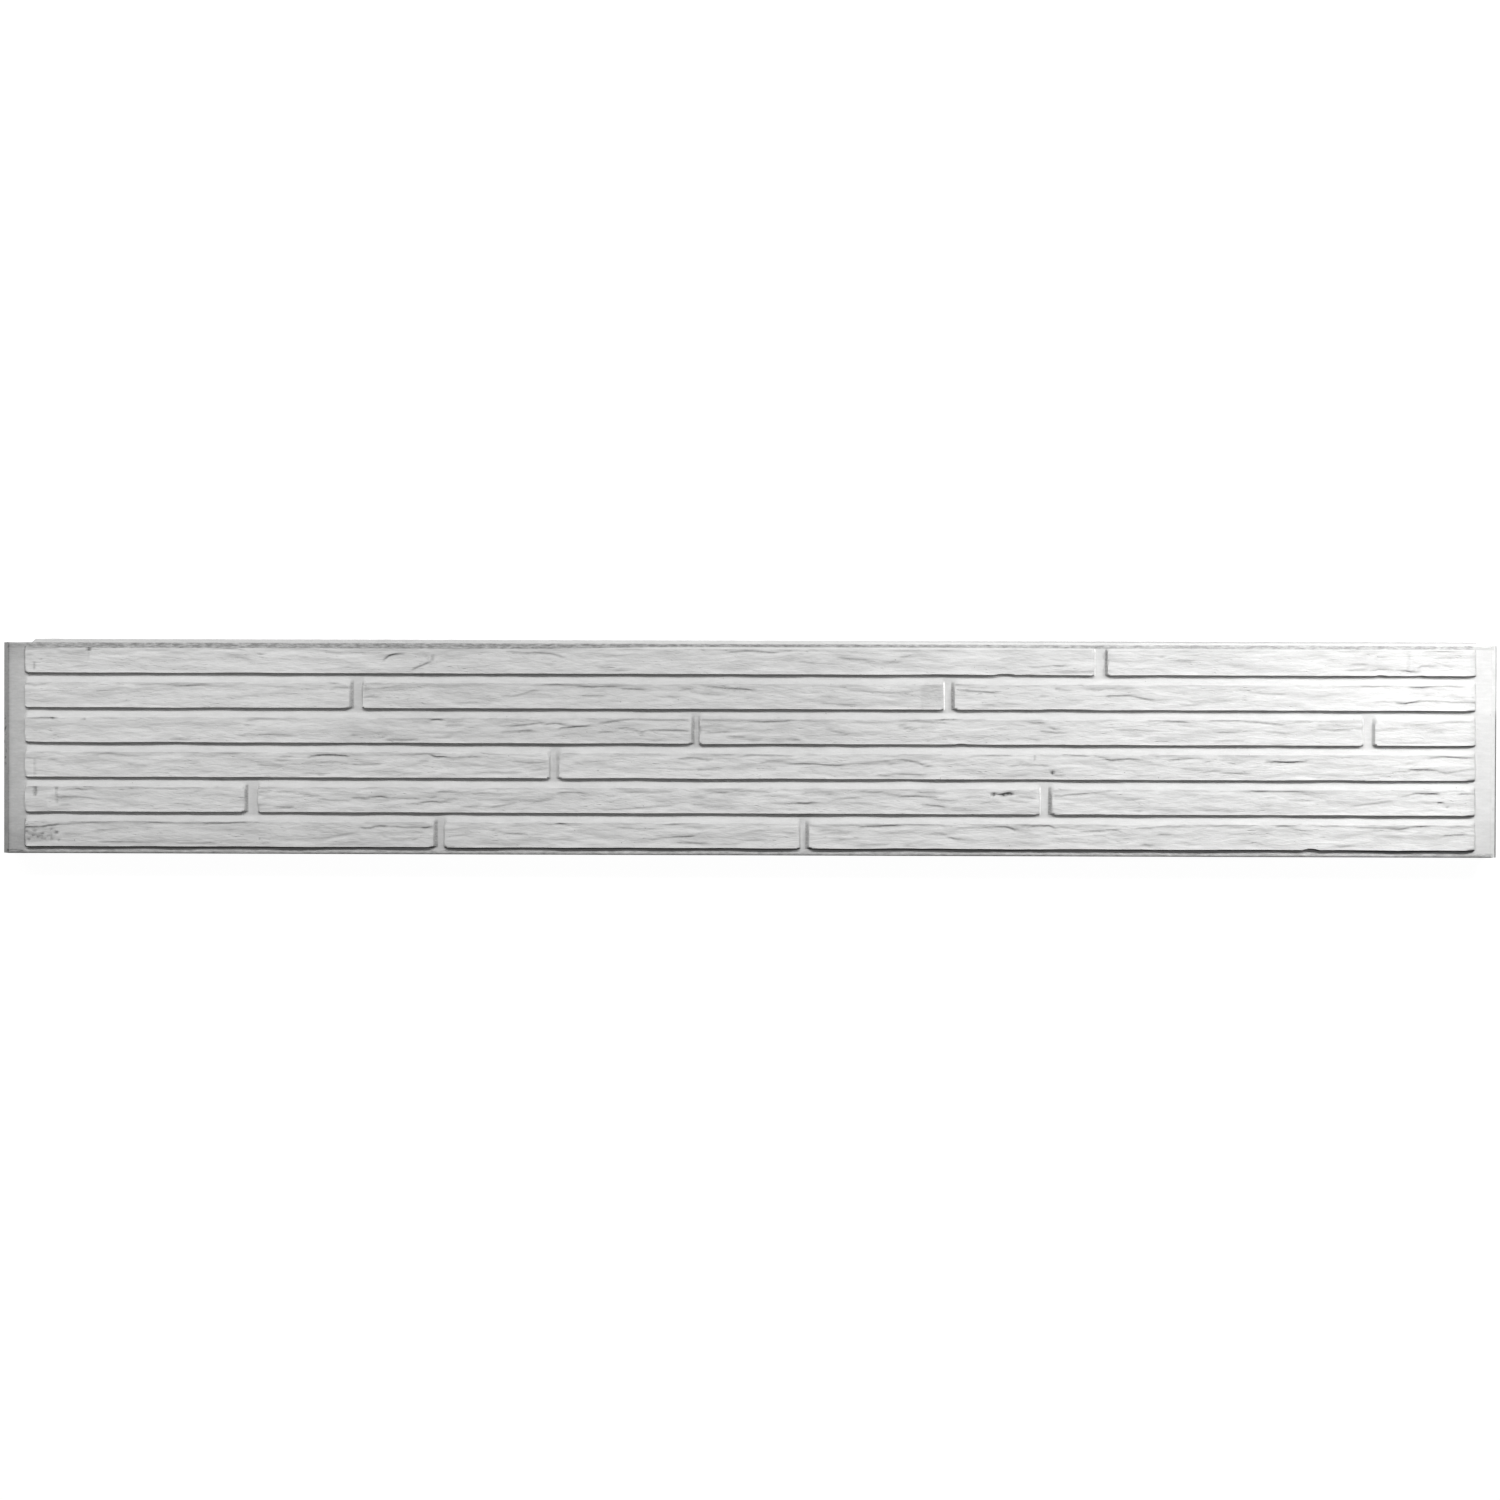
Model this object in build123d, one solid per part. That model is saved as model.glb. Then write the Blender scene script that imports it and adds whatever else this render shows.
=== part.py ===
# Concrete fence slab, cast in one piece: a plain plate whose front carries six courses of
# raised strips, like split stone laid with staggered joints, between two plain end flanges.
# A tongue stands along the top edge, and a groove along the bottom edge takes the tongue
# of the slab below. The slab lies on its flat back with the strips upward.
# X runs along the slab, Y from the grooved edge to the tongue, Z out of the back.
# The origin is on the back, below the middle of the slab and its tongue. Sizes are in millimetres.
import os

from build123d import *

# Plate
slab_length = 1840.0
slab_height = 260.0
plate_thickness = 42.0
end_chamfer = 9.0
front_chamfer = 1.5
back_chamfer = 1.5

# Tongue, and the groove that takes the tongue of the next slab
tongue_height = 5.0
tongue_foot = 14.0
tongue_tip = 10.0
tongue_left_setback = 31.5
tongue_right_setback = 18.0
tongue_end_run = 5.0
groove_side_clearance = 1.0
groove_depth_clearance = 2.0

# Courses of raised strips
course_count = 6
top_margin = 6.5
bottom_margin = 9.2
bed_joint = 12.0
end_flange = 30.5
strip_rise = 6.0
lower_wall_run = 2.0
upper_wall_run = 6.5
top_course_upper_run = 3.0
end_wall_run = 2.5
strip_corner = 2.5
strip_arris = 1.0
shortest_strip = 60.0

# Upright joints of each course from the top one down: the middle of the joint, measured
# from the middle of the slab, and its width from face to face
upright_joints = [
    [(432.0, 17.0)],
    [(-482.0, 16.5), (246.0, 14.5)],
    [(-67.0, 13.0), (760.0, 15.0)],
    [(-239.0, 16.5)],
    [(-611.0, 17.5), (365.0, 16.0)],
    [(-380.0, 14.5), (68.0, 14.5)],
]

# Places worked out from the sizes
overall_height = slab_height + tongue_height
bottom_edge = -overall_height / 2
shoulder = bottom_edge + slab_height
end_face = slab_length / 2
mid_thickness = plate_thickness / 2
strip_face = (slab_height - top_margin - bottom_margin - (course_count - 1) * bed_joint) / course_count
relief_top = plate_thickness + strip_rise


def plate():
    """The flat plate: a box with its front and back arrises taken off."""
    centre_y = bottom_edge + slab_height / 2
    box = Pos(0, centre_y, mid_thickness) * Box(slab_length, slab_height, plate_thickness)
    front_ends = box.edges().filter_by(Axis.Y).group_by(Axis.Z)[-1]
    body = chamfer(front_ends, end_chamfer)
    front_face = body.faces().sort_by(Axis.Z)[-1]
    body = chamfer(front_face.edges().filter_by(Axis.X), front_chamfer)
    back_face = body.faces().sort_by(Axis.Z)[0]
    return chamfer(back_face.edges(), back_chamfer)


def tongue():
    """The tongue: a long wedge on the shoulder, narrower at its tip, with slanted ends."""
    foot_length = slab_length - tongue_left_setback - tongue_right_setback
    centre_x = (tongue_left_setback - tongue_right_setback) / 2
    foot_plane = Plane(origin=(centre_x, shoulder, mid_thickness), x_dir=(1, 0, 0), z_dir=(0, 1, 0))
    tip_plane = foot_plane.offset(tongue_height)
    foot = foot_plane * Rectangle(foot_length, tongue_foot)
    tip = tip_plane * Rectangle(foot_length - 2 * tongue_end_run, tongue_tip)
    return loft([foot, tip])


def groove():
    """The groove's bar: the tongue's section with clearance, along the whole bottom edge."""
    half_mouth = tongue_foot / 2 + groove_side_clearance
    half_floor = tongue_tip / 2 + groove_side_clearance
    floor_y = bottom_edge + tongue_height + groove_depth_clearance
    section = Polyline(
        (bottom_edge, mid_thickness - half_mouth),
        (floor_y, mid_thickness - half_floor),
        (floor_y, mid_thickness + half_floor),
        (bottom_edge, mid_thickness + half_mouth),
        close=True,
    )
    return extrude(Plane.YZ * make_face(section), amount=end_face, both=True)


def strip(left, right, bottom, upper_run):
    """One raised strip: its face lies between left and right, above bottom, and its walls slope
    out to a larger foot on the plate, steeply below and at the ends and gently above."""
    centre_x = (left + right) / 2
    face_y = bottom + strip_face / 2
    foot_y = face_y + (upper_run - lower_wall_run) / 2
    foot = Pos(centre_x, foot_y, plate_thickness) * RectangleRounded(
        right - left + 2 * end_wall_run,
        strip_face + lower_wall_run + upper_run,
        strip_corner + end_wall_run,
    )
    face = Pos(centre_x, face_y, relief_top) * RectangleRounded(right - left, strip_face, strip_corner)
    raised = loft([foot, face], ruled=True)
    arris = raised.faces().sort_by(Axis.Z)[-1].edges()
    return chamfer(arris, strip_arris)


def spans(joints):
    """The start and end of each strip's face in a course: the relief cut at its upright joints."""
    relief_end = end_face - end_flange
    starts = [-relief_end]
    ends = []
    for middle, width in joints:
        left_of_joint = middle - width / 2
        right_of_joint = middle + width / 2
        if left_of_joint - starts[-1] >= shortest_strip and relief_end - right_of_joint >= shortest_strip:
            ends.append(left_of_joint)
            starts.append(right_of_joint)
    ends.append(relief_end)
    return zip(starts, ends)


def strips():
    """All the strips, course by course from the top edge down."""
    laid = []
    for course in range(course_count):
        bottom = shoulder - top_margin - strip_face - course * (strip_face + bed_joint)
        upper_run = upper_wall_run if course else top_course_upper_run
        for left, right in spans(upright_joints[course % len(upright_joints)]):
            laid.append(strip(left, right, bottom, upper_run))
    return laid


fence_slab = plate() + tongue() + strips() - groove()

os.makedirs("parts", exist_ok=True)
export_step(fence_slab, "parts/fence_slab.step")
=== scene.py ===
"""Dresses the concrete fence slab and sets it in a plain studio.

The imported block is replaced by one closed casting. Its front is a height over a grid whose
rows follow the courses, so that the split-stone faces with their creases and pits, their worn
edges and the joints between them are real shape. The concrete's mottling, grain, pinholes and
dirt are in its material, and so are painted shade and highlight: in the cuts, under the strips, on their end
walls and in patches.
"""
import math

import bpy
import numpy as np
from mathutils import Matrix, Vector


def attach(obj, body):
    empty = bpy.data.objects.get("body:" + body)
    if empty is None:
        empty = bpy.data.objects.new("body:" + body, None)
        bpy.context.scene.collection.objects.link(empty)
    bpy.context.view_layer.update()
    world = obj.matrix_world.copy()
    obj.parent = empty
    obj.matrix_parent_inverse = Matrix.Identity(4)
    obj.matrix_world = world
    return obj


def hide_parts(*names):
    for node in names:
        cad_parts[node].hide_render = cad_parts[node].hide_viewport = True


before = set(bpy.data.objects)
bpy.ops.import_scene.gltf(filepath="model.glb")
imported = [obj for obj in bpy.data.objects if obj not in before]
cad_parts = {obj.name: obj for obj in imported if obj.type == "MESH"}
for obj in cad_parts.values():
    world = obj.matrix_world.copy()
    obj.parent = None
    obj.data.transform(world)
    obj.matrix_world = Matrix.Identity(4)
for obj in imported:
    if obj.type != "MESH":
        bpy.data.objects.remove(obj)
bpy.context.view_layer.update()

# Sizes of the slab in millimetres, as in the part
SLAB_LENGTH = 1840.0
SLAB_HEIGHT = 260.0
PLATE = 42.0
END_CHAMFER = 9.0
LONG_CHAMFER = 1.5
BACK_CHAMFER = 1.5
TONGUE_HEIGHT = 5.0
TONGUE_FOOT = 14.0
TONGUE_TIP = 10.0
TONGUE_LEFT_SETBACK = 31.5
TONGUE_RIGHT_SETBACK = 18.0
TONGUE_END_RUN = 5.0
GROOVE_SIDE = 1.0
GROOVE_SPARE = 2.0
COURSES = 6
TOP_MARGIN = 6.5
BOTTOM_MARGIN = 9.2
BED_JOINT = 12.0
END_FLANGE = 30.5
STRIP_RISE = 6.0
LOWER_WALL = 2.0
UPPER_WALL = 6.5
TOP_COURSE_UPPER_WALL = 3.0
END_WALL = 2.5

# How far the concrete departs from those sizes
TONGUE_WEAR = 0.25
FLOOR_UNEVENNESS = 0.12
END_WANDER = 0.5
END_LEAN = 0.02  # of the strips' ends, for each millimetre up

# Upright joints of each course from the top one down: middle, width, the runs of the wall on their
# left and the wall on their right, and the painted shade on each of the two walls, below 0 a painted
# highlight
UPRIGHT_JOINTS = [
    [(432, 17, 2.5, 3.2, -0.9, 1)],
    [(-482.3, 17, 6, 2.5, 0.9, -0.15), (246, 14.5, 2.5, 4.8, -1.8, 1)],
    [(-65.2, 11, 5, 2, 0.9, 0.1), (760, 15, 2.5, 3, -0.4, 0.2)],
    [(-238.4, 13, 3, 5.5, 0.3, 0.25)],
    [(-611, 17.5, 4.8, 2.5, 0.95, -0.3), (365, 16, 2.5, 5, -1.1, 1)],
    [(-380, 14.5, 6, 2.5, 1, -0.15), (68.9, 12.7, 2.5, 5.5, 0.3, 0.85)],
]

# Painted shade on the strips' end walls at the left end of each course, a painted highlight below 0, and at
# the right end of all
LEFT_END_SHADING = [1.0, -0.3, -0.5, -0.2, -0.3, 1.0]
RIGHT_END_SHADING = 0.7

# Places worked out from the sizes
END_FACE = SLAB_LENGTH / 2
BOTTOM_EDGE = -(SLAB_HEIGHT + TONGUE_HEIGHT) / 2
SHOULDER = BOTTOM_EDGE + SLAB_HEIGHT
MID_PLATE = PLATE / 2
STRIP_FACE = (SLAB_HEIGHT - TOP_MARGIN - BOTTOM_MARGIN - (COURSES - 1) * BED_JOINT) / COURSES
RELIEF_END = END_FACE - END_FLANGE
TONGUE_START = -END_FACE + TONGUE_LEFT_SETBACK
TONGUE_STOP = END_FACE - TONGUE_RIGHT_SETBACK


# Noise and curves on arrays

# Seeds of the noise, one for each use
FLOOR_SEED = 7
TONGUE_SEED = 11
LINE_SEED = 40
END_SEED = 90
STONE_SEED = 200
CREASE_SEED = 400
MARK_SEED = 407
RIM_SEED = 600
RIM_DEPTH_SEED = 620

# Odd factors of the hash
HASH_X = 374761393
HASH_Y = 668265263
HASH_SEED = 974711
HASH_MIX = 1274126177
HASH_MASK = 0xFFFFFFFF


def hashed(ix, iy, seed):
    """A steady number from 0 to 1 for each lattice point, from an integer hash of its place."""
    h = (ix.astype(np.int64) * HASH_X + iy.astype(np.int64) * HASH_Y + seed * HASH_SEED) & HASH_MASK
    h = ((h ^ (h >> 13)) * HASH_MIX) & HASH_MASK
    return ((h ^ (h >> 16)) & HASH_MASK) / float(HASH_MASK)


def noise(x, y, seed):
    """Gradient noise from about -1 to 1: the dot products with a unit vector at each of the four
    lattice points round (x, y), blended by 6t^5 - 15t^4 + 10t^3."""
    x, y = np.broadcast_arrays(np.asarray(x, float), np.asarray(y, float))
    x0, y0 = np.floor(x), np.floor(y)
    u, v = x - x0, y - y0

    def corner(dx, dy):
        angle = 2 * math.pi * hashed(x0 + dx, y0 + dy, seed)
        return np.cos(angle) * (u - dx) + np.sin(angle) * (v - dy)

    bu = u ** 3 * (u * (6 * u - 15) + 10)
    bv = v ** 3 * (v * (6 * v - 15) + 10)
    near = corner(0, 0) * (1 - bu) + corner(1, 0) * bu
    far = corner(0, 1) * (1 - bu) + corner(1, 1) * bu
    return 1.5 * (near * (1 - bv) + far * bv)


def ramp(value, low, high):
    """0 below low, 1 above high, and 3t^2 - 2t^3 between."""
    t = np.clip((value - low) / (high - low), 0, 1)
    return t * t * (3 - 2 * t)


def band(value, start, end, outside, inside):
    """1 well inside the run from start to end and 0 well outside it, eased over the two margins."""
    return ramp(value, start - outside, start + inside) * ramp(-value, -end - outside, -end + inside)


def bumps(x, table, course):
    """The sum of a table's flat-topped bells in a course."""
    return sum(most * np.exp(-((x - place) / half) ** 4) for at, place, half, most in table if at == course)


def stations_to_places(stations, steps):
    """Splits each run between neighbouring stations into its number of equal steps."""
    runs = [np.linspace(a, b, n, endpoint=False) for a, b, n in zip(stations, stations[1:], steps)]
    return np.concatenate(runs + [[stations[-1]]])


# Grid of the front

OPEN_STEP = 6.9  # between columns where the relief runs on unbroken
WALL_STEPS = 3  # across the wall at an end of the relief
WALL_END = 0.8  # share of a wall's run at which its foot begins
APRON = 4.0  # stretch beside a joint with closer columns

# Runs along the slab where upright marks and broken spots need closer columns, and their step
FINE_RUNS = [(-882, -844, 1.9), (-816, -807, 2.2), (-452, -434, 2.6), (-414.5, -393.5, 2.6),
             (209.5, 213.5, 1.4), (296, 327, 2.8), (347, 353.6, 2.2), (804, 811, 2.3), (843, 859, 2.6)]


def column_places():
    """Places of the columns along the slab: short steps at the joints' walls, the ends of the
    relief, the chamfers and the fine runs, and long steps where the relief runs on unbroken."""
    marks = [(-END_FACE, 1), (-END_FACE + LONG_CHAMFER, 4), (-END_FACE + END_CHAMFER, 4),
             (-RELIEF_END - END_WALL, WALL_STEPS), (-RELIEF_END, 1), (TONGUE_START, 3),
             (TONGUE_START + TONGUE_END_RUN, 0)]
    joints = [joint for course in UPRIGHT_JOINTS for joint in course]
    for middle, width, left_wall, right_wall, *_ in joints:
        start, end = middle - width / 2, middle + width / 2
        marks += [(start - APRON, 2), (start, 2), (start + WALL_END * left_wall, 1), (start + left_wall, 2),
                  (end - right_wall, 1), (end - WALL_END * right_wall, 2), (end, 2), (end + APRON, 0)]
    marks += [(RELIEF_END, WALL_STEPS), (RELIEF_END + END_WALL, 2), (TONGUE_STOP - TONGUE_END_RUN, 3),
              (TONGUE_STOP, 3), (END_FACE - END_CHAMFER, 4), (END_FACE - LONG_CHAMFER, 1), (END_FACE, 0)]
    for start, end, step in FINE_RUNS:
        marks += [(start, round((end - start) / step)), (end, 0)]
    marks.sort()
    stations = [place for place, _ in marks]
    steps = [count or max(1, round((b - a) / OPEN_STEP))
             for (a, count), b in zip(marks, stations[1:])]
    return stations_to_places(stations, steps)


# Rows across each part of a course: the lower wall, the face, the upper wall and the joint's floor,
# and one on the bottom margin
WALL_FRACTIONS = [0, 0.3, 0.55, 0.76, 0.92]
FACE_STEPS = 20
BEVEL_FRACTIONS = [0, 0.2, 0.4, 0.6, 0.8]
FLOOR_FRACTIONS = [0, 0.5]
MARGIN_ROW = 3.75

# Chips in the lower edges of the strips: course, place, half length, rise
EDGE_CHIPS = [(0, 315, 11, 1.6), (0, 342, 9, 0.6), (0, 774, 4.5, 1.3), (0, 823, 5, 0.8),
              (1, 392, 30, 0.8), (5, 689, 6, 2.2), (2, 262, 7, 1), (5, 180, 25, 0.6)]

# Places where the lower wall of the strips leans out more: course, place, half length, added run
WIDE_WALLS = [(0, -4, 50, 0.5), (1, -505, 22, 0.6), (1, 92, 22, 0.6), (2, 686, 32, 0.7), (2, 850, 45, 0.7),
              (4, 848, 45, 1.2), (5, -640, 260, 0.5), (5, 60, 330, 0.5), (5, 795, 52, 1.2)]


def course_lines(x, course):
    """The four lines along a course: the foot and the arris of its lower wall and the arris and
    the foot of its upper one, each wandering by a millimetre or less like the split stone."""
    bottom = SHOULDER - TOP_MARGIN - STRIP_FACE - course * (STRIP_FACE + BED_JOINT)
    seed = LINE_SEED + 10 * course
    low = bottom + 0.55 * noise(x / 95, course, seed) + 0.17 * noise(x / 31, course, seed + 1)
    low = low + bumps(x, EDGE_CHIPS, course)
    reach = LOWER_WALL * (1 + 0.45 * noise(x / 120, course, seed + 2)) + bumps(x, WIDE_WALLS, course)
    wander = 0.7 * noise(x / 60, course, seed + 3) + 0.35 * noise(x / 19, course, seed + 4)
    high = bottom + STRIP_FACE + (wander if course else 0.5 * wander)
    run = UPPER_WALL if course else TOP_COURSE_UPPER_WALL
    foot = bottom + STRIP_FACE + run + 0.25 * noise(x / 70, course, seed + 5)
    return [low - reach, low, high, foot]


# Split-stone faces

# Creases of each course from the top one down: the strength in percent, below 0 for a ridge, and then
# for each point its place along the slab and its height above the face's lower edge
CREASES = [
    [(50, -890, 21, -880, 21), (25, -850, 25, -814, 23), (30, -832, 7, -812, 7.5),
     (30, -790, 24, -752, 22.5), (30, -745, 27, -715, 26.5), (45, -650, 29, -624, 28.5),
     (30, -642, 22, -627, 18, -612, 16.5), (40, -607, 22, -594, 22.5), (30, -597, 18, -563, 16),
     (40, -520, 25, -492, 24, -468, 24.5), (120, -449, 14, -446, 17.5, -441, 21, -434, 23, -426, 23.5),
     (100, -414, 3, -407.5, 6.5, -401.5, 9, -390, 13.5), (60, -399, 23, -391, 15),
     (30, -381, 16.5, -349, 19), (50, -297, 27, -266, 23.5), (60, -266, 25, -244, 24, -226, 20),
     (35, -250, 10, -236, 10.5), (50, -182, 7, -166, 7.5), (40, -167, 3, -150, 4),
     (30, -181, 21, -150, 21.5), (80, -27, 26, 2, 28, 14, 27, 34, 26), (40, 36, 28.5, 70, 28, 105, 28),
     (30, 41, 18, 56, 18.5), (40, 60, 15, 84, 12.5), (60, 109, 20, 130, 18, 150, 16.5),
     (50, 163, 14, 187, 14.5), (40, 120, 27, 165, 24), (60, 184, 21, 202, 21.5), (35, 307, 17.5, 343, 17.5),
     (45, 345, 8, 372, 10), (90, 372, 11, 392, 10), (40, 378, 2.7, 424, 3), (60, 502, 24, 516, 17.5),
     (60, 519, 17.5, 545, 16), (35, 476, 17, 494, 17.5), (30, 505, 6, 514, 3), (30, 586, 27, 600, 26),
     (50, 590, 11, 607, 12), (35, 694, 24.5, 706, 24), (40, 706, 19, 717, 18.5), (35, 722, 28.5, 740, 28.5),
     (55, 735, 14, 758, 13.5), (55, 729, 6, 758, 6.5), (60, 760, 6, 785, 6.5), (45, 766, 21, 783, 21.5),
     (100, 798, 6.5, 806, 5, 819, 3.5), (80, 819, 9.5, 828, 11, 842, 10.5), (50, 826, 30, 862, 29.5),
     (50, 840, 21, 864, 21.5), (40, 850, 12, 864, 10), (40, 826, 24, 838, 24)],
    [(60, -891, 28, -877, 26, -864, 28), (35, -806, 19.5, -786, 20, -772, 21.5),
     (35, -749, 22.5, -732, 23.5), (80, -713, 28, -699, 26, -668, 27), (35, -668, 26, -632, 25.5),
     (25, -689, 11, -657, 13), (40, -749, 4, -737, 4.5), (30, -774, 7, -757, 8), (40, -613, 26.5, -561, 25),
     (30, -610, 16, -561, 17), (30, -640, 12, -600, 14), (60, -513, 24, -489, 24),
     (50, -512, 29.5, -503, 29.5), (70, -472, 13, -464, 13.5, -451, 12), (45, -452, 25, -420, 24, -396, 25),
     (25, -396, 26, -320, 26.5), (45, -468, 30, -450, 29.5),
     (55, -305, 16.5, -293, 13.5, -280, 16, -268, 20, -256, 24), (45, -362, 4.5, -340, 6, -314, 5),
     (35, -330, 12, -303, 9), (50, -253, 28, -202, 28), (90, -214, 27, -196, 26, -157, 26.5),
     (70, -204, 15, -174, 15), (90, -157, 24, -146, 23.5, -129, 23), (50, -104, 15, -84, 12.5),
     (40, -84, 21, -68, 25), (70, -55, 27, -30, 25, 7, 22.5), (35, -59, 18.5, -20, 15.5),
     (45, 87, 15, 106, 15.5), (60, 89, 7, 100, 6), (55, 108, 5, 131, 4), (50, 125, 22.5, 148, 21, 188, 19.5),
     (35, 100, 27, 124, 27), (60, 186, 20, 200, 20.5), (70, 256, 23, 270, 22, 304, 20),
     (35, 266, 27, 293, 26), (60, 252, 30, 260, 30), (50, 356, 16.5, 368, 15.5), (50, 378, 22.5, 394, 22.5),
     (40, 390, 12, 411, 8), (60, 414, 24.5, 436, 24), (35, 434, 26, 479, 26.5),
     (90, 438, 16.5, 455, 17, 471, 17), (80, 470, 16.5, 480, 14, 498, 10.5), (55, 532, 5.5, 556, 6),
     (40, 286, 3.5, 303, 4.5), (35, 521, 20.5, 536, 21), (40, 596, 24, 616, 24),
     (55, 614, 21, 636, 19.5, 655, 19), (40, 572, 11, 590, 11), (55, 749, 29, 775, 29, 793, 30),
     (80, 808, 28, 822, 27.5, 838, 28.5), (50, 838, 30, 874, 30), (35, 765, 10.5, 788, 10),
     (100, 793, 9, 804, 8, 824, 11), (50, 823, 11.5, 846, 11.5, 860, 10, 893, 10)],
    [(40, -873, 29, -849, 28.5), (35, -742, 22, -720, 21), (45, -732, 3, -720, 3.5),
     (60, -709, 2.5, -690, 2.5), (30, -691, 8, -678, 5), (40, -617, 26, -604, 26.5),
     (40, -619, 20.5, -606, 20), (40, -626, 8, -588, 9.5, -556, 7.5), (50, -490, 8, -480, 9),
     (60, -454, 6, -444, 7.5), (60, -445, 2.5, -404, 2.5), (100, -393, 27, -382, 28, -373, 27.5),
     (60, -373, 26.5, -362, 25.5, -351, 28.5), (35, -400, 25, -388, 23), (60, -372, 21, -353, 21),
     (40, -388, 6, -363, 6), (40, -358, 14, -350, 12.5), (35, -311, 20, -294, 20.5),
     (90, -295, 20, -275, 21.5, -253, 25), (90, -252, 22.5, -238, 23.5, -223, 23),
     (100, -233, 17.5, -214, 20, -193, 20.5), (100, -285, 14, -276, 14.5, -263, 15),
     (40, -312, 6, -300, 6.5), (45, -304, 13, -287, 14), (70, -183, 24, -165, 26.5, -142, 29),
     (45, -138, 28, -74, 28), (60, -183, 13, -162, 13.5), (50, -162, 17, -145, 19),
     (80, -146, 17, -134, 13.5, -124, 13), (80, -124, 15, -98, 16, -73, 15), (35, -124, 4, -101, 3),
     (45, -59, 28, -30, 28, 0, 27.5), (90, 0, 27, 20, 26, 54, 27.5), (40, 54, 28, 78, 27.5),
     (40, -58, 21.5, -32, 21), (35, -28, 18, 0, 17), (60, -52, 13, -25, 14), (80, -28, 10, -18, 8, -4, 8.5),
     (70, -1, 3.5, 14, 4), (70, 50, 5.5, 64, 4), (40, 29, 2.5, 41, 2), (55, 96, 18, 108, 15, 126, 10.5),
     (45, 118, 26, 175, 26), (60, 186, 28, 215, 27, 244, 25.5), (100, 234, 29, 245, 30, 258, 30),
     (90, 184, 25, 192, 21, 205, 17.5), (40, 210, 22, 232, 19), (-50, 250, 15, 280, 17, 315, 22),
     (50, 345, 25.5, 364, 26), (60, 367, 21, 380, 17.5), (60, 357, 15.5, 385, 13), (50, 338, 7, 358, 4),
     (55, 450, 17.5, 470, 17.5, 497, 16), (35, 466, 10, 484, 10.5), (70, 510, 29, 524, 28, 536, 28),
     (35, 527, 24, 543, 23), (45, 539, 11, 545, 5), (55, 565, 28.5, 600, 29, 616, 27.5),
     (80, 614, 27.5, 634, 26.5, 655, 24), (35, 655, 22, 671, 22.5), (50, 570, 14.5, 603, 14.5),
     (60, 636, 16, 665, 13), (60, 572, 4, 592, 5, 611, 3), (45, 668, 28, 690, 28), (50, 697, 26, 705, 20),
     (60, 711, 18, 738, 18.5), (45, 744, 20, 752, 20), (40, 776, 19.5, 797, 20.5), (35, 800, 24, 812, 26),
     (60, 810, 25, 827, 25), (50, 842, 17, 852, 16), (35, 792, 2.5, 838, 3), (40, 862, 28, 888, 28),
     (45, 880, 20, 891, 23)],
    [(30, -890, 22.5, -868, 21), (40, -862, 20, -849, 19.5), (30, -846, 14, -838, 12),
     (50, -808, 26, -790, 28, -752, 24.5), (40, -764, 16.5, -752, 13.5, -738, 13), (30, -728, 19, -674, 19),
     (35, -690, 26, -650, 24), (35, -652, 28, -624, 28), (70, -578, 25, -561, 25),
     (60, -581, 20, -567, 20.5), (50, -604, 14.5, -573, 12.5), (35, -632, 11, -614, 12),
     (-40, -800, 12, -772, 13), (120, -539, 25, -525, 27, -491, 25.5), (30, -491, 26.5, -394, 27.5),
     (120, -392, 27, -383, 25, -368, 25), (60, -369, 23, -350, 24.5, -329, 25), (50, -404, 19.5, -393, 20),
     (45, -547, 17.5, -510, 18, -489, 15.5), (60, -489, 15, -451, 15.5), (60, -548, 3, -538, 5, -518, 3),
     (30, -432, 2.5, -400, 3.5), (35, -374, 13, -328, 15), (45, -338, 5, -310, 6, -279, 5),
     (50, -290, 20.5, -275, 17.5, -248, 19), (55, -269, 8, -258, 10, -247, 11), (30, -228, 9, -220, 9.5),
     (75, -84, 24, -64, 24.5, -45, 21.5), (40, -43, 29, -18, 28.5), (60, -11, 27, 10, 28, 55, 26.5),
     (35, -114, 12, -70, 10, -34, 11), (40, -61, 3, -44, 3.5), (40, -5, 14, 2, 18), (40, 2, 14, 7, 18),
     (40, -12, 17, -1, 15), (60, 14, 19, 30, 21, 45, 20), (50, 45, 20, 53, 17),
     (70, 54, 17, 82, 17.5, 106, 15.5, 121, 17), (40, 121, 18, 153, 18), (70, 159, 4, 175, 2.5),
     (50, 160, 26, 168, 21, 180, 15), (40, 157, 28, 188, 26.5), (90, 183, 24, 206, 20, 226, 13.5),
     (60, 185, 6, 202, 5, 218, 4), (50, 274, 28, 324, 28), (70, 329, 26, 334, 20),
     (60, 319, 15, 334, 17, 368, 16), (-50, 374, 16, 420, 15), (60, 374, 4.5, 388, 3.5),
     (35, 309, 3, 344, 3.5), (60, 396, 29, 418, 28), (60, 422, 29, 437, 26), (90, 435, 25, 445, 23, 463, 24),
     (90, 462, 25, 480, 24), (90, 515, 23, 525, 24.5, 536, 25), (60, 535, 26, 556, 26),
     (45, 530, 14, 556, 10), (40, 436, 14, 474, 10), (60, 556, 23, 570, 19), (60, 580, 26, 587, 21, 600, 19),
     (40, 595, 24, 611, 18), (60, 556, 9, 578, 11), (70, 578, 8, 612, 7.5), (130, 637, 23, 655, 21, 681, 22),
     (40, 680, 24, 692, 25), (45, 751, 17, 760, 18.5, 770, 17), (50, 776, 17, 787, 16),
     (40, 802, 19, 814, 20.5), (50, 793, 11, 808, 10), (100, 808, 13, 822, 12.5, 844, 12),
     (60, 844, 10.5, 856, 8.5, 868, 11), (50, 868, 12, 890, 13), (40, 745, 5, 770, 6.5, 792, 5),
     (70, 831, 26.5, 850, 28.5, 872, 27), (90, 871, 26.5, 891, 27)],
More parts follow.
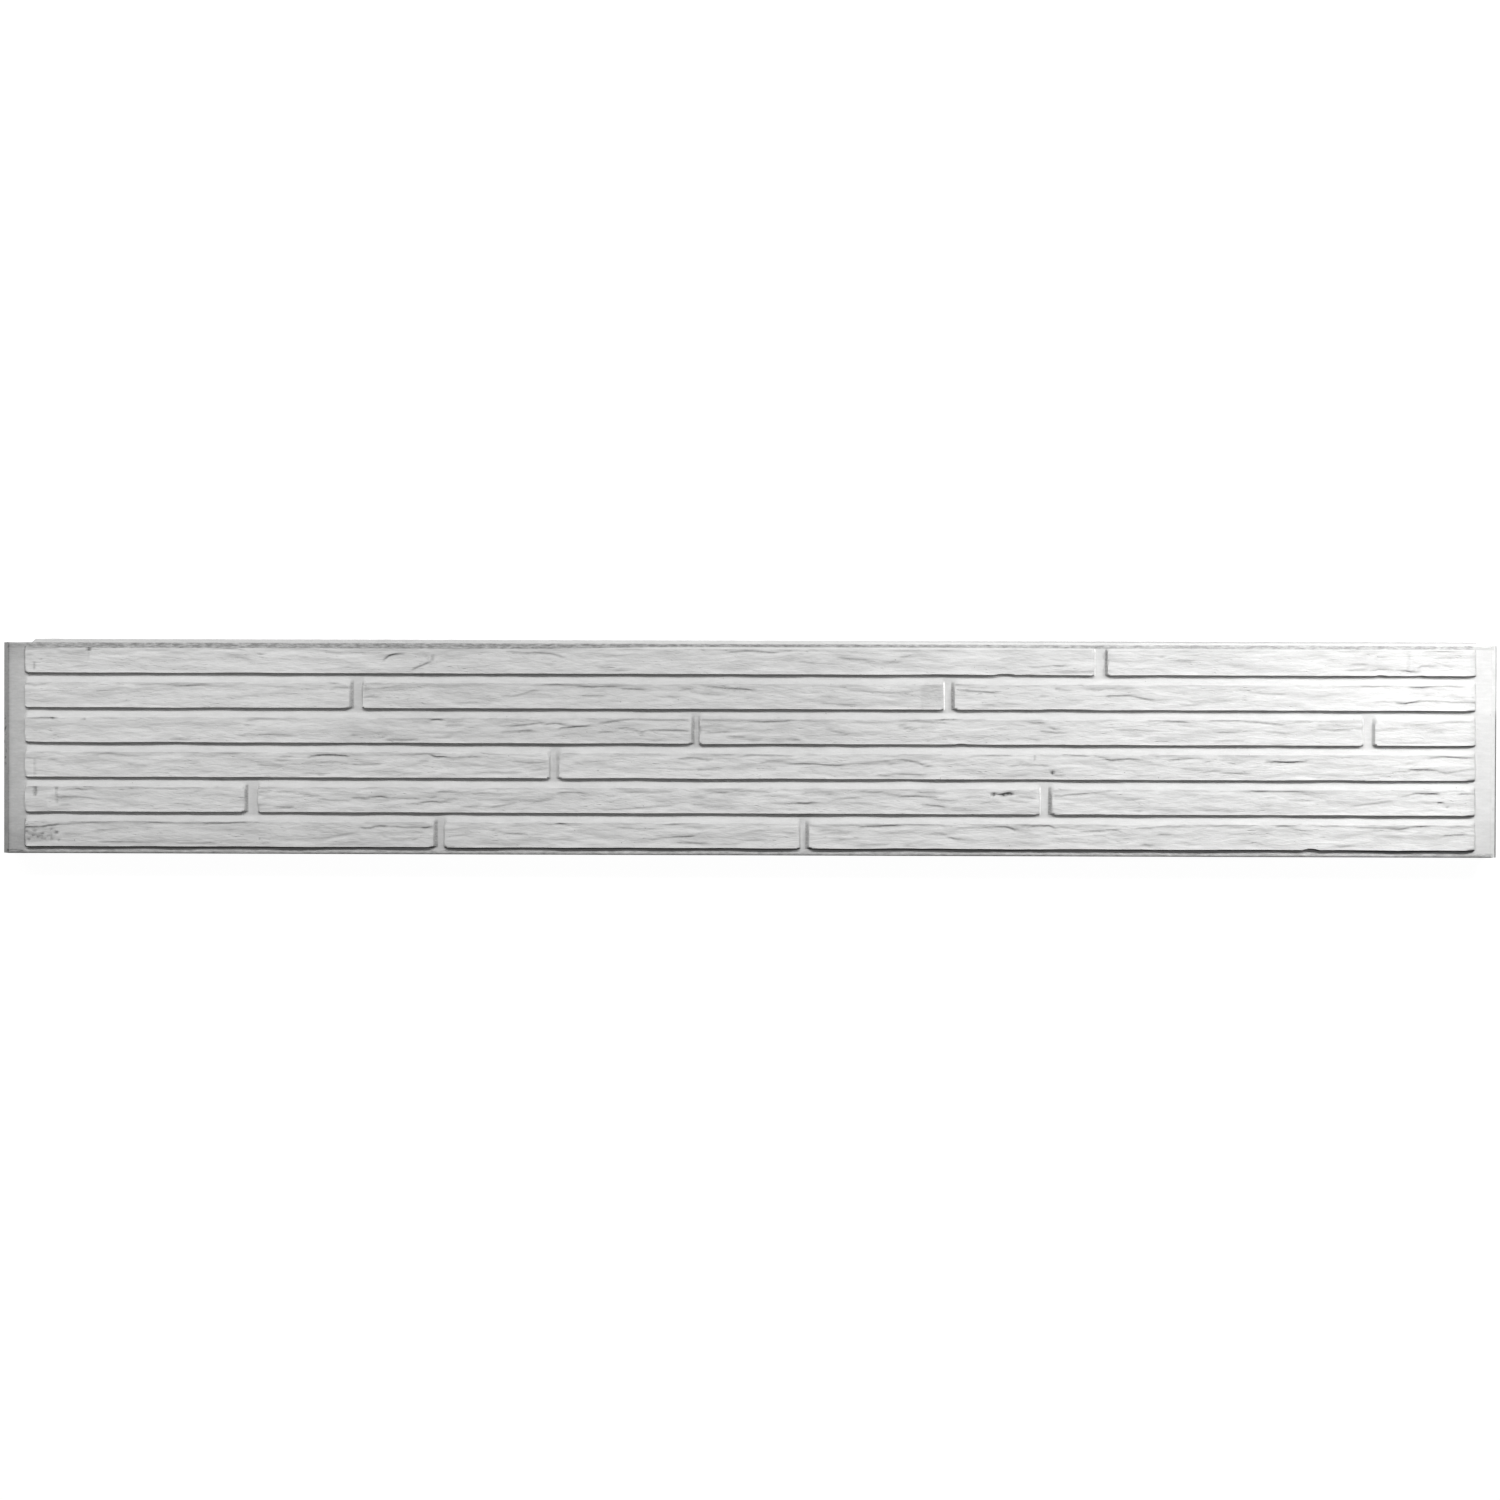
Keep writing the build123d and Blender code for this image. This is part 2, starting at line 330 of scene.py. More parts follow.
    [(60, -851, 16.5, -842, 17, -820, 16.5, -800, 14.5), (40, -846, 26, -800, 26.5),
     (30, -847, 7, -834, 7.5), (30, -764, 29, -757, 28), (40, -768, 20, -751, 21), (30, -773, 6, -748, 6.5),
     (35, -730, 27.5, -686, 28), (40, -682, 24, -668, 28), (35, -668, 20, -642, 20), (-40, -690, 6, -671, 8),
     (35, -650, 3, -634, 3.5), (40, -603, 24.5, -589, 25), (55, -581, 24.5, -550, 24),
     (45, -596, 18, -584, 16.5), (80, -582, 6, -560, 4.5), (40, -603, 8, -590, 8),
     (60, -552, 22.5, -540, 19.5, -525, 19.5), (80, -528, 15.5, -519, 15), (40, -519, 14, -490, 14),
     (70, -488, 17, -466, 16), (90, -466, 17.5, -452, 18.5, -439, 17), (45, -440, 16.5, -404, 16),
     (60, -416, 9, -398, 10), (80, -404, 11, -388, 12.5, -367, 12), (50, -392, 16.5, -383, 19),
     (60, -372, 14, -359, 17), (50, -382, 25, -359, 25), (60, -350, 6.5, -329, 7), (40, -360, 20, -346, 25),
     (70, -321, 6, -303, 8, -287, 11), (50, -340, 23.5, -302, 22), (35, -302, 22, -267, 24),
     (60, -234, 24, -208, 24.5, -192, 21), (45, -267, 12, -241, 16), (30, -305, 15, -280, 17),
     (40, -176, 20, -160, 20.5), (45, -159, 25, -94, 25.5), (80, -43, 25, -22, 25), (50, -54, 26.5, -40, 26),
     (50, -20, 27, 28, 25.5), (50, -71, 19, -54, 18.5), (40, -31, 22, -2, 22), (60, -70, 10, -54, 9.5),
     (40, -54, 8, -30, 7), (50, -180, 3, -140, 5, -91, 9), (45, 28, 12, 52, 11.5), (80, 52, 11.5, 82, 12),
     (40, 21, 21.5, 47, 20), (40, 47, 4, 62, 4.5), (40, 66, 24, 80, 26, 108, 26), (80, 94, 24, 107, 22.5),
     (45, 105, 18, 138, 18.5), (70, 134, 27, 150, 26, 168, 26), (60, 166, 25, 188, 21),
     (40, 132, 13, 162, 9.5), (40, 155, 8, 174, 8), (90, 185, 20.5, 205, 21, 229, 20),
     (50, 204, 26, 244, 26), (80, 212, 11, 225, 10, 242, 8), (40, 228, 17, 268, 16.5),
     (50, 267, 20, 290, 20), (50, 284, 13, 296, 14.5, 310, 13.5), (50, 318, 17, 348, 13),
     (50, 331, 21, 352, 20), (80, 373, 22, 387, 21.5), (90, 389, 23, 404, 24, 418, 24.5),
     (45, 384, 12.5, 399, 12), (50, 418, 25, 446, 28), (50, 463, 17, 486, 20.5), (70, 471, 3.5, 485, 4),
     (35, 446, 8, 482, 8), (35, 526, 23, 552, 23.5), (80, 616, 28, 638, 28), (55, 637, 28, 684, 28),
     (60, 630, 19, 645, 20.5), (55, 658, 18, 692, 17), (30, 690, 21, 712, 21), (50, 623, 10, 642, 11),
     (35, 734, 9.5, 760, 13, 799, 19), (60, 797, 23, 808, 24, 816, 26.5), (110, 813, 27, 825, 26, 846, 25.5),
     (100, 870, 26, 890, 26), (60, 841, 15, 853, 15), (35, 824, 17, 838, 14), (40, 823, 5.5, 843, 6),
     (30, 557, 4.5, 600, 4)],
    [(100, -892, 23.5, -871, 22.5), (90, -872, 22.5, -861, 24.5, -845, 26), (45, -845, 26, -820, 27.5),
     (30, -820, 28, -782, 29.5), (50, -842, 14.5, -819, 14), (50, -804, 18.5, -786, 20),
     (30, -786, 20, -771, 21), (70, -798, 4, -783, 5, -767, 4), (50, -741, 21, -735, 21.5),
     (35, -747, 28, -674, 28), (70, -672, 27.5, -640, 28, -614, 29), (40, -614, 29.5, -600, 29),
     (50, -643, 19, -632, 20), (-80, -641, 13, -628, 15), (50, -707, 3, -650, 3.5),
     (-80, -519, 6.5, -506, 8.5, -494, 11), (45, -524, 10, -500, 14, -478, 18),
     (90, -477, 23.5, -467, 21.5, -459, 24.5), (100, -460, 25, -442, 25), (50, -442, 24.5, -403, 23),
     (90, -404, 23, -396, 23, -388, 24.5), (50, -440, 10, -431, 9), (40, -416, 17, -398, 18),
     (60, -415, 7, -406, 9.5), (40, -452, 15, -443, 12), (35, -366, 13, -335, 17.5),
     (60, -318, 22.5, -306, 19, -299, 17.5), (80, -300, 17.5, -287, 16.5, -273, 16),
     (35, -292, 27, -277, 26.5), (90, -237, 28, -231, 29, -223, 28), (50, -227, 11, -216, 11.5),
     (40, -330, 6, -295, 2), (45, -159, 24, -136, 22.5, -112, 23), (60, -104, 28, -84, 28),
     (30, -68, 24, -48, 20), (90, -92, 13, -64, 13.5), (60, -95, 5, -88, 6), (80, -87, 6, -66, 5.5, -49, 4),
     (35, -123, 9, -92, 12), (30, -35, 4, -10, 4.5), (45, -10, 8, 22, 10), (30, 0, 20, 29, 21.5),
     (30, 47, 17, 59, 18), (50, 85, 20, 98, 22, 116, 21.5), (40, 90, 18, 122, 18), (90, 107, 11, 116, 10),
     (40, 114, 11, 136, 12), (50, 105, 28, 140, 28), (90, 137, 26.5, 160, 26.5, 188, 27.5),
     (50, 134, 4, 174, 4), (50, 128, 15, 137, 13), (30, 186, 28, 230, 28.5),
     (50, 226, 17.5, 240, 16.5, 246, 13.5), (90, 244, 13.5, 254, 11.5, 263, 10.5),
     (40, 235, 27, 260, 25, 300, 25.5), (60, 298, 27, 318, 26.5, 326, 24), (100, 321, 25, 327, 23, 334, 21),
     (40, 332, 21, 346, 20), (90, 336, 29, 355, 27.5, 368, 28, 378, 25), (50, 380, 27, 398, 25, 408, 28),
     (50, 407, 20.5, 440, 22.5), (80, 438, 23, 457, 24), (-50, 381, 15, 410, 16, 452, 21),
     (70, 478, 25, 497, 26), (40, 497, 27, 552, 27.5), (80, 481, 6, 498, 3),
     (70, 500, 17, 508, 18.5, 518, 17), (80, 190, 3.5, 198, 3), (35, 552, 28.5, 586, 28),
     (35, 585, 27, 607, 26), (90, 647, 28.5, 666, 28), (45, 664, 26, 676, 24),
     (45, 587, 18, 610, 18.5, 635, 17.5), (35, 600, 9.5, 612, 10.5), (35, 684, 28, 745, 28),
     (60, 745, 27, 790, 26.5), (90, 784, 28, 795, 25, 811, 27), (50, 793, 23, 806, 22.5),
     (90, 815, 28, 834, 29), (50, 818, 21, 830, 23), (35, 780, 16, 803, 15.5),
     (90, 851, 18, 861, 17.5, 870, 19, 881, 18.5), (50, 720, 3, 737, 4.5), (35, 857, 28, 870, 29)],
]

# Short upright marks of each course: place, lower and upper end, depth
UPRIGHT_MARKS = [
    [(-878.5, 3, 12, 0.8), (807.5, 1, 30, 0.45), (828, 18, 27, 0.4), (-812, 15, 26, 0.3),
     (-388.3, 15.5, 22, 1.1)],
    [(-469, 20, 29, 0.5)],
    [(491, 26.5, 30, 0.8)],
    [(-877.5, 1, 22, 0.5), (351, 23, 28.5, 0.7), (333, 19, 25, 0.4)],
    [(-877, 19, 30, 1.2), (-850.5, 10, 30, 0.8)],
    [(-869, 9, 14, 0.6), (-857, 7, 14, 0.6), (-842, 13, 19, 0.6), (-851, 14, 18, 0.8)],
]

# Pits and broken spots of each course: place, height, half length, half height, depth
PITS = [
    [(-811, 28.5, 2.6, 2.2, 1.6), (-653, 3, 1.4, 1.2, 0.5), (-778, 9, 2.0, 1.5, 0.3)],
    [(-774, 28, 1.4, 1.2, 0.8), (379, 25, 2.2, 1.8, 1.6), (831, 18.7, 1.7, 1.2, 0.7)],
    [(-856, 28.5, 2.0, 1.5, 1.0), (-840, 27.5, 2.4, 1.6, 0.9), (-817, 28, 2.4, 1.6, 1.0),
     (706, 19.6, 1.5, 1.2, 0.7)],
    [(373, 8, 2.2, 2.4, 1.8), (84, 6.5, 1.8, 1.6, 0.9), (623, 16.7, 1.5, 1.2, 0.8)],
    [(-877.5, 24, 2.6, 4.5, 0.9), (-851, 27.5, 2.0, 1.8, 1.0), (847, 14.7, 2.4, 1.5, 1.2),
     (857, 9.8, 1.5, 1.3, 0.9), (-287, 8, 1.5, 1.2, 0.6), (301, 24, 3.2, 2.2, 1.8),
     (307.5, 23.6, 5.0, 1.0, 1.1), (313.5, 23.3, 4.5, 1.9, 2.0), (320, 24.8, 5.0, 1.9, 2.2)],
    [(-880, 13, 2.0, 1.4, 0.8), (-874, 11, 2.2, 1.6, 0.9), (-851, 16.5, 2.6, 1.9, 1.3),
     (-848, 7, 1.8, 1.4, 0.9), (-887, 26, 2.2, 1.1, 0.9), (-888, 18, 1.8, 1.3, 1.0),
     (-885, 8, 1.8, 1.3, 1.0), (-878, 18.5, 2.6, 1.1, 0.9), (-868, 15.5, 2.2, 1.2, 0.9),
     (-866, 8.5, 2.0, 1.2, 0.8), (-857, 20.5, 2.0, 1.1, 0.7), (-860, 13, 1.8, 1.3, 0.8),
     (-792, 26.5, 2.2, 1.4, 0.4), (-600, 9.3, 1.5, 1.3, 0.7), (458, 8, 1.5, 1.2, 0.5)],
]

# Darker patches of each course: start, end, lower and upper edge, strength
STAINS = {0: [(-889, -812, 12, 30, 0.14), (842, 856, 4, 18, 0.12)],
          1: [(211.5, 239, 3, 29, 0.34)],
          4: [(-891, -862, 2, 29, 0.14)],
          5: [(-893, -852, 6, 27, 0.3), (-889, -868, 8, 17, 0.3)]}

# Shape of the faces and their cuts
CREASE_DEPTH = 1.25  # of a crease of strength 1
STEP_ABOVE = 1.1
FADE_BELOW = 3.6
LEAD_IN = 3.0  # how far before its first point a crease starts
FULL_AFTER = 5.0  # how far after that point it has its full depth
CREASE_SHADE_HEIGHT = 0.5  # of the painted shade in a crease, above its line
CREASE_SHADE_WIDTH = 1.1
MARK_WIDTH = 1.3
SOFT_END = 1.5  # of upright marks and darker patches
CORNER = 0.9  # rounding of a strip's corners, in runs of its wall
FACE_LEVEL = -0.9  # mean level below the highest one
CAP = 0.22  # softness of the cap at the highest level
STRIP_SHIFT = 977.0  # of the pattern from one strip to the next
FACE_SAMPLES = 125  # across a face, for placing its rows
BEND_WEIGHT = 60.0


def split_stone(x, y, course):
    """Uneven height of a course's faces in millimetres: a broad swell, layers whose steps come out
    in patches, and a fine unevenness, all drawn out along the slab and sheared a little."""
    seed = STONE_SEED + 20 * course
    xs = x + STRIP_SHIFT * sum(x > joint[0] for joint in UPRIGHT_JOINTS[course])
    slant = y + 4.5 * noise(xs / 95, y / 45, seed) + 1.8 * noise(xs / 34, y / 16, seed + 1)
    swell = noise(xs / 75, slant / 15, seed + 2) + 0.6 * noise(xs / 33, slant / 8.5, seed + 9)
    patch = ramp(noise(xs / 80, y / 26, seed + 4), -0.25, 0.30)
    layers = 0.9 * noise(xs / 46, slant / 8.5, seed + 3) + 0.42 * noise(xs / 22, slant / 4.6, seed + 6)
    stepped = 0.5 * (np.floor(2 * layers) + ramp(2 * layers - np.floor(2 * layers), 0.27, 0.73))
    fine = 0.15 * noise(xs / 15, slant / 3.8, seed + 5)
    return swell + patch * 0.6 * stepped + (1 - patch) * 0.35 * layers + (0.35 + 0.65 * patch) * fine


def cuts(x, up, course):
    """Depth of a course's creases, upright marks and pits, with painted shade in them, and its darker
    patches. With d the distance square to its line, a crease ends in a step above it, exp(-(d /
    STEP_ABOVE)^2), and fades out below it, exp(d / FADE_BELOW), like the lower edge of a thin flake. Marks
    and pits are bells across their own size."""
    depth = np.zeros(up.shape)
    dirt_and_shading = np.zeros(up.shape)
    for number, (percent, *path) in enumerate(CREASES[course]):
        deep = percent / 100
        places, heights = np.reshape(path, (-1, 2)).astype(float).T
        near = slice(*np.searchsorted(x, [places[0] - LEAD_IN, places[-1] + LEAD_IN]))
        xs = x[near]
        before, line, after = [
            np.interp(at, places, heights) + 0.45 * noise(at / 11, number, CREASE_SEED + course)
            for at in (xs - 1, xs, xs + 1)]
        taper = band(xs, places[0], places[-1], LEAD_IN, FULL_AFTER)
        d = (up[:, near] - line) / np.hypot(1, (after - before) / 2)
        profile = np.where(d < 0, np.exp(np.minimum(d, 0) / FADE_BELOW), np.exp(-(d / STEP_ABOVE) ** 2))
        depth[:, near] += CREASE_DEPTH * deep * taper * profile
        if deep > 0:
            # Painted shade just above a crease's line, where its step faces down
            crease_shade = deep * taper * np.exp(-((d - CREASE_SHADE_HEIGHT) / CREASE_SHADE_WIDTH) ** 2)
            dirt_and_shading[:, near] = np.maximum(dirt_and_shading[:, near], crease_shade)
    # Marks and pits carry painted shade as deep as they are
    for place, start, end, deep in UPRIGHT_MARKS[course]:
        across = (x - place - 0.4 * noise(up / 5, place, MARK_SEED + course)) / MARK_WIDTH
        bell = np.exp(-across ** 2) * band(up, start, end, SOFT_END, 1)
        depth += deep * bell
        dirt_and_shading = np.maximum(dirt_and_shading, deep * bell)
    for place, height, half_length, half_height, deep in PITS[course]:
        bell = np.exp(-(((x - place) / half_length) ** 2 + ((up - height) / half_height) ** 2) ** 1.5)
        depth += deep * bell
        dirt_and_shading = np.maximum(dirt_and_shading, deep * bell)
    for start, end, lower, upper, strength in STAINS.get(course, []):
        dirt_and_shading = dirt_and_shading + strength * band(x, start, end, SOFT_END, SOFT_END) * band(up, lower, upper, 1, 1)
    return depth, dirt_and_shading


def face_shape(x, y, course, low, high):
    """Height of a course's faces against their highest level, capped softly there, with a thin
    crease just inside the upper arris and a slight lip along both, and the painted shade in its cuts and
    that crease."""
    rim_line = high - 2.6 + 0.8 * noise(x / 40, course, RIM_SEED + course)
    rim_depth = 0.06 + 0.27 * ramp(noise(x / 70, course, RIM_DEPTH_SEED + course), -0.1, 0.5)
    rim = rim_depth * np.exp(-(y - rim_line) ** 2)
    lips = 0.4 * np.exp(-((y - low) / 2.2) ** 2) + 0.15 * np.exp(-((high - y) / 1.5) ** 2)
    depth, dirt_and_shading = cuts(x, y - low, course)
    level = FACE_LEVEL + split_stone(x, y, course) - depth - rim + lips
    # The second value is painted shade in the cuts and the rim crease, with the darker patches
    return -CAP * np.log1p(np.exp(-np.maximum(level, -20.0) / CAP)), np.maximum(dirt_and_shading, 0.6 * rim)


def face_rows(x, course, low, high):
    """Places of the rows across a course's faces, closer together where the surface bends most:
    equal shares of the running sum of 1 + BEND_WEIGHT |bend|, inverted as a sum of clipped ramps."""
    t = np.linspace(0, 1, FACE_SAMPLES)[:, None]
    shape, _ = face_shape(x, low + t * (high - low), course, low, high)
    bend = np.abs(np.diff(shape, 2, axis=0, append=shape[-1:], prepend=shape[:1]))
    for _ in range(2):
        bend[:, 1:-1] = (bend[:, :-2] + 2 * bend[:, 1:-1] + bend[:, 2:]) / 4
        bend[1:-1] = (bend[:-2] + 2 * bend[1:-1] + bend[2:]) / 4
    weight = 1 + BEND_WEIGHT * bend
    share = np.concatenate([np.zeros((1, len(x))), np.cumsum((weight[1:] + weight[:-1]) / 2, 0)])
    share = share / share[-1]
    rows = []
    for k in range(FACE_STEPS):
        passed = np.clip((k / FACE_STEPS - share[:-1]) / np.diff(share, axis=0), 0, 1).sum(0)
        rows.append(low + (high - low) * passed / (FACE_SAMPLES - 1))
    return rows


def relief(x, y, course, lines):
    """Height of a course above the plate, and its dirt and painted shading. Each strip is a box with rounded
    corners in units of its walls' runs, d = |max(q, 0)| + min(max(q), 0) - corner, and 1 - d says how far
    up its wall a point is. The lower and end walls rise by h^2, which leaves a sharp arris and a
    soft foot, and the upper wall by h(1 + h) / 2."""
    foot_low, low, high, foot_high = lines
    floor = FLOOR_UNEVENNESS * noise(x / 45, y / 30, FLOOR_SEED) * ramp(y, BOTTOM_EDGE, BOTTOM_EDGE + 10)
    below = (low - y) / (low - foot_low)
    above = (y - high) / (foot_high - high)
    across = np.maximum(below, above)
    along = np.full(y.shape, np.inf)
    lean = END_LEAN * (y - (low + high) / 2)
    for strip, (left, left_run, right, right_run) in enumerate(strip_ends(UPRIGHT_JOINTS[course])):
        wander = END_WANDER * noise(y / 14, strip, END_SEED + course)
        outwards = np.maximum((left - x + wander) / left_run, (x - right + wander + lean) / right_run)
        along = np.minimum(along, outwards)
    qx, qy = along + CORNER, across + CORNER
    outside = np.hypot(np.maximum(qx, 0), np.maximum(qy, 0)) + np.minimum(np.maximum(qx, qy), 0)
    h = np.clip(1 + CORNER - outside, 0, 1)
    # Painted shade and painted highlight on the strips' end walls
    beside = end_wall_shading(x, course) * ramp(-across, -0.7, 0.0)
    wall = np.where((above > below) & (above > along), h * (1 + h) / 2, h * h)
    shape, dirt_and_shading = face_shape(x, y, course, low, high)
    on_face = ramp(h, 0.8, 1.0)
    return wall * (STRIP_RISE + shape) + (1 - wall) * floor, dirt_and_shading * on_face + beside


def end_wall_shading(x, course):
    """Painted shade on the walls at the ends of a course's strips, most between a third and four fifths of
    the way down them, and a painted highlight where it is below 0."""

    def on_wall(arris, foot):
        return np.interp((x - arris) / (foot - arris), [0, 0.35, WALL_END, 1], [0, 1, 1, 0])

    wall_shading = LEFT_END_SHADING[course] * on_wall(-RELIEF_END + 0.4, -RELIEF_END - END_WALL)
    wall_shading = wall_shading + RIGHT_END_SHADING * on_wall(RELIEF_END - 0.4, RELIEF_END + END_WALL)
    for middle, width, left_wall, right_wall, left_wall_shading, right_wall_shading in UPRIGHT_JOINTS[course]:
        start, end = middle - width / 2, middle + width / 2
        wall_shading = wall_shading + left_wall_shading * on_wall(start, start + left_wall)
        wall_shading = wall_shading + right_wall_shading * on_wall(end, end - right_wall)
    return wall_shading


def strip_ends(joints):
    """The start and the end of each strip's face in a course, each with the run of its wall."""
    starts = [(-RELIEF_END, END_WALL)] + [(joint[0] + joint[1] / 2, joint[3]) for joint in joints]
    stops = [(joint[0] - joint[1] / 2, joint[2]) for joint in joints] + [(RELIEF_END, END_WALL)]
    return [start + stop for start, stop in zip(starts, stops)]


def front_surface(x):
    """Rows of the slab's front, bottom row first: their places across the slab, their heights
    above the plate and their dirt and painted shading, each an array of rows by columns."""
    flat = np.zeros_like(x)
    y = [flat + BOTTOM_EDGE + rise for rise in (0.0, LONG_CHAMFER, MARGIN_ROW)]
    height = [flat] * len(y)
    dirt_and_shading = [flat] * len(y)
    for course in reversed(range(COURSES)):
        lines = course_lines(x, course)
        foot_low, low, high, foot_high = lines
        following = course_lines(x, course - 1)[0] if course else flat + SHOULDER - LONG_CHAMFER
        rows = [(1 - f) * foot_low + f * low for f in WALL_FRACTIONS]
        rows += face_rows(x, course, low, high)
        rows += [(1 - f) * high + f * foot_high for f in BEVEL_FRACTIONS]
        rows += [(1 - f) * foot_high + f * following for f in (FLOOR_FRACTIONS if course else [0])]
        rows = np.array(rows)
        course_height, course_dirt_and_shading = relief(x, rows, course, lines)
        y += list(rows)
        height += list(course_height)
        dirt_and_shading += list(course_dirt_and_shading)
    y += [flat + SHOULDER - LONG_CHAMFER, flat + SHOULDER]
    height += [flat, flat]
    dirt_and_shading += [flat, flat]
    return np.array(y), np.array(height), np.array(dirt_and_shading)


def plate_front(x, y):
    """Height of the plate's front: flat, and lowered by 45 degree chamfers at the ends and
    along both long edges."""
    ends = END_FACE - np.abs(x) + PLATE - END_CHAMFER
    rim = np.minimum(y - BOTTOM_EDGE, SHOULDER - y) + PLATE - LONG_CHAMFER
    return np.minimum(PLATE, np.minimum(ends, rim))


# The closed casting

BACK_ROWS = 5
SMOOTH_ANGLE = 50.0  # degrees, above which an edge is sharp


def casting_rows(x):
    """The slab as one tube of rows round it: up the front, over the tongue, down the back and
    through the groove. Gives an array of rows by columns by three, in millimetres, and the dirt and painted
    shading."""
    y, height, dirt_and_shading = front_surface(x)
    plate = plate_front(x, y)
    raised = plate + np.where(plate >= PLATE, height, 0)
    front = np.stack([np.broadcast_to(x, y.shape), y, raised], -1)
    edge = plate[0]
    back = np.maximum(0, BACK_CHAMFER - (END_FACE - np.abs(x)))
    flat = np.zeros_like(x)
    up = np.clip(np.minimum(x - TONGUE_START, TONGUE_STOP - x) / TONGUE_END_RUN, 0, 1)
    worn_height = TONGUE_HEIGHT - TONGUE_WEAR * (1 + noise(x / 17, 0, TONGUE_SEED))

    def row(row_y, row_z):
        return np.stack([x, flat + row_y, flat + row_z], -1)

    # The tongue's section: the share of its height and half its thickness there, with rounded arrises
    foot, tip = TONGUE_FOOT / 2, TONGUE_TIP / 2
    tongue_section = [(0.0, foot), (0.45, foot - 0.9), (0.86, tip + 0.35), (1.0, tip - 0.5), (1.0, 0.0)]
    tongue_section += [(share, -half) for share, half in reversed(tongue_section[:-1])]
    top = [row(SHOULDER, (edge + MID_PLATE + foot) / 2)]
    top += [row(SHOULDER + share * up * worn_height, MID_PLATE + half) for share, half in tongue_section]
    top += [row(SHOULDER, (MID_PLATE - foot + BACK_CHAMFER) / 2), row(SHOULDER, BACK_CHAMFER)]

    back_y = np.linspace(SHOULDER - BACK_CHAMFER, BOTTOM_EDGE + BACK_CHAMFER, BACK_ROWS)
    rear = [row(place, back) for place in back_y]

    # The groove's section: how deep it is and half its width there, back half first, likewise rounded
    mouth, floor = foot + GROOVE_SIDE, tip + GROOVE_SIDE
    depth = TONGUE_HEIGHT + GROOVE_SPARE
    groove_section = [(0.0, -mouth - 0.5), (0.5, -mouth + 0.1), (depth - 0.6, -floor - 0.15),
                      (depth, -floor + 0.5), (depth, 0.0)]
    groove_section += [(rise, -half) for rise, half in reversed(groove_section[:-1])]
    bottom = [row(BOTTOM_EDGE, BACK_CHAMFER), row(BOTTOM_EDGE, (BACK_CHAMFER + MID_PLATE - mouth) / 2)]
    bottom += [row(BOTTOM_EDGE + rise, MID_PLATE + half) for rise, half in groove_section]
    bottom += [row(BOTTOM_EDGE, (edge + MID_PLATE + mouth + 0.5) / 2)]
    others = np.array(top + rear + bottom)
    return np.concatenate([front, others]), np.concatenate([dirt_and_shading, np.zeros(others.shape[:2])])


def placed(name, data):
    """A new object with the given mesh, lamp or camera, in the scene."""
    piece = bpy.data.objects.new(name, data)
    bpy.context.scene.collection.objects.link(piece)
    return piece


def tube_mesh(name, rows, shading_and_soiling):
    """A mesh from a closed ring of rows: a face between each pair of neighbouring rows and
    columns, the last row joined to the first, and one flat face over each end. The dirt and
    painted shading of each point go into an attribute of that name."""
    ring, columns = rows.shape[:2]
    index = np.arange(ring * columns).reshape(ring, columns)
    after = np.roll(index, -1, 0)
    quads = np.stack([index[:, :-1], index[:, 1:], after[:, 1:], after[:, :-1]], -1).reshape(-1, 4)
    caps = [index[:, 0], index[::-1, -1]]
    points = rows.reshape(-1, 3) / 1000
    tri = points[np.concatenate([quads[:, :3], quads[:, [0, 2, 3]]])]
    volume = np.einsum("ij,ij->i", tri[:, 0], np.cross(tri[:, 1], tri[:, 2])).sum()
    if volume < 0:
        quads = quads[:, ::-1]
        caps = [cap[::-1] for cap in caps]
    corners = np.concatenate([quads.ravel()] + caps).astype(np.int32)
    totals = np.concatenate([np.full(len(quads), 4), [ring, ring]]).astype(np.int32)
    starts = np.concatenate([[0], np.cumsum(totals)[:-1]]).astype(np.int32)
    mesh = bpy.data.meshes.new(name)
    mesh.vertices.add(len(points))
    mesh.vertices.foreach_set("co", points.astype(np.float32).ravel())
    mesh.loops.add(len(corners))
    mesh.loops.foreach_set("vertex_index", corners)
    mesh.polygons.add(len(totals))
    mesh.polygons.foreach_set("loop_start", starts)
    mesh.polygons.foreach_set("use_smooth", np.ones(len(totals), bool))
    mesh.update(calc_edges=True)
    mesh.validate()
    attribute = mesh.attributes.new("shading_and_soiling", "FLOAT", "POINT")
    attribute.data.foreach_set("value", shading_and_soiling.astype(np.float32).ravel())
    mesh.set_sharp_from_angle(angle=math.radians(SMOOTH_ANGLE))
    return placed(name, mesh)


# Shader maths

class Wire:
    """One output of a shader node. Arithmetic on wires adds Math nodes to their tree."""

    def __init__(self, shader, output):
        self.shader = shader
        self.output = output

    def math(self, operation, *values):
        inputs = dict(enumerate((self,) + values))
        return self.shader.node("ShaderNodeMath", {"operation": operation}, inputs)

    def __add__(self, other):
        return self.math("ADD", other)

    def __sub__(self, other):
        return self.math("SUBTRACT", other)

    def __mul__(self, other):
        return self.math("MULTIPLY", other)

    def __rsub__(self, other):
        return self.math("MULTIPLY", -1.0).math("ADD", other)

    __radd__ = __add__
    __rmul__ = __mul__

    def ramp(self, low, high):
        """0 at low and 1 at high, eased at both; high may lie below low."""
        return self.shader.node("ShaderNodeMapRange", {"interpolation_type": "SMOOTHSTEP"},
                                {"Value": self, "From Min": low, "From Max": high})

    def beside(self, name):
        """Another output of the same node."""
        return Wire(self.shader, self.output.node.outputs[name])


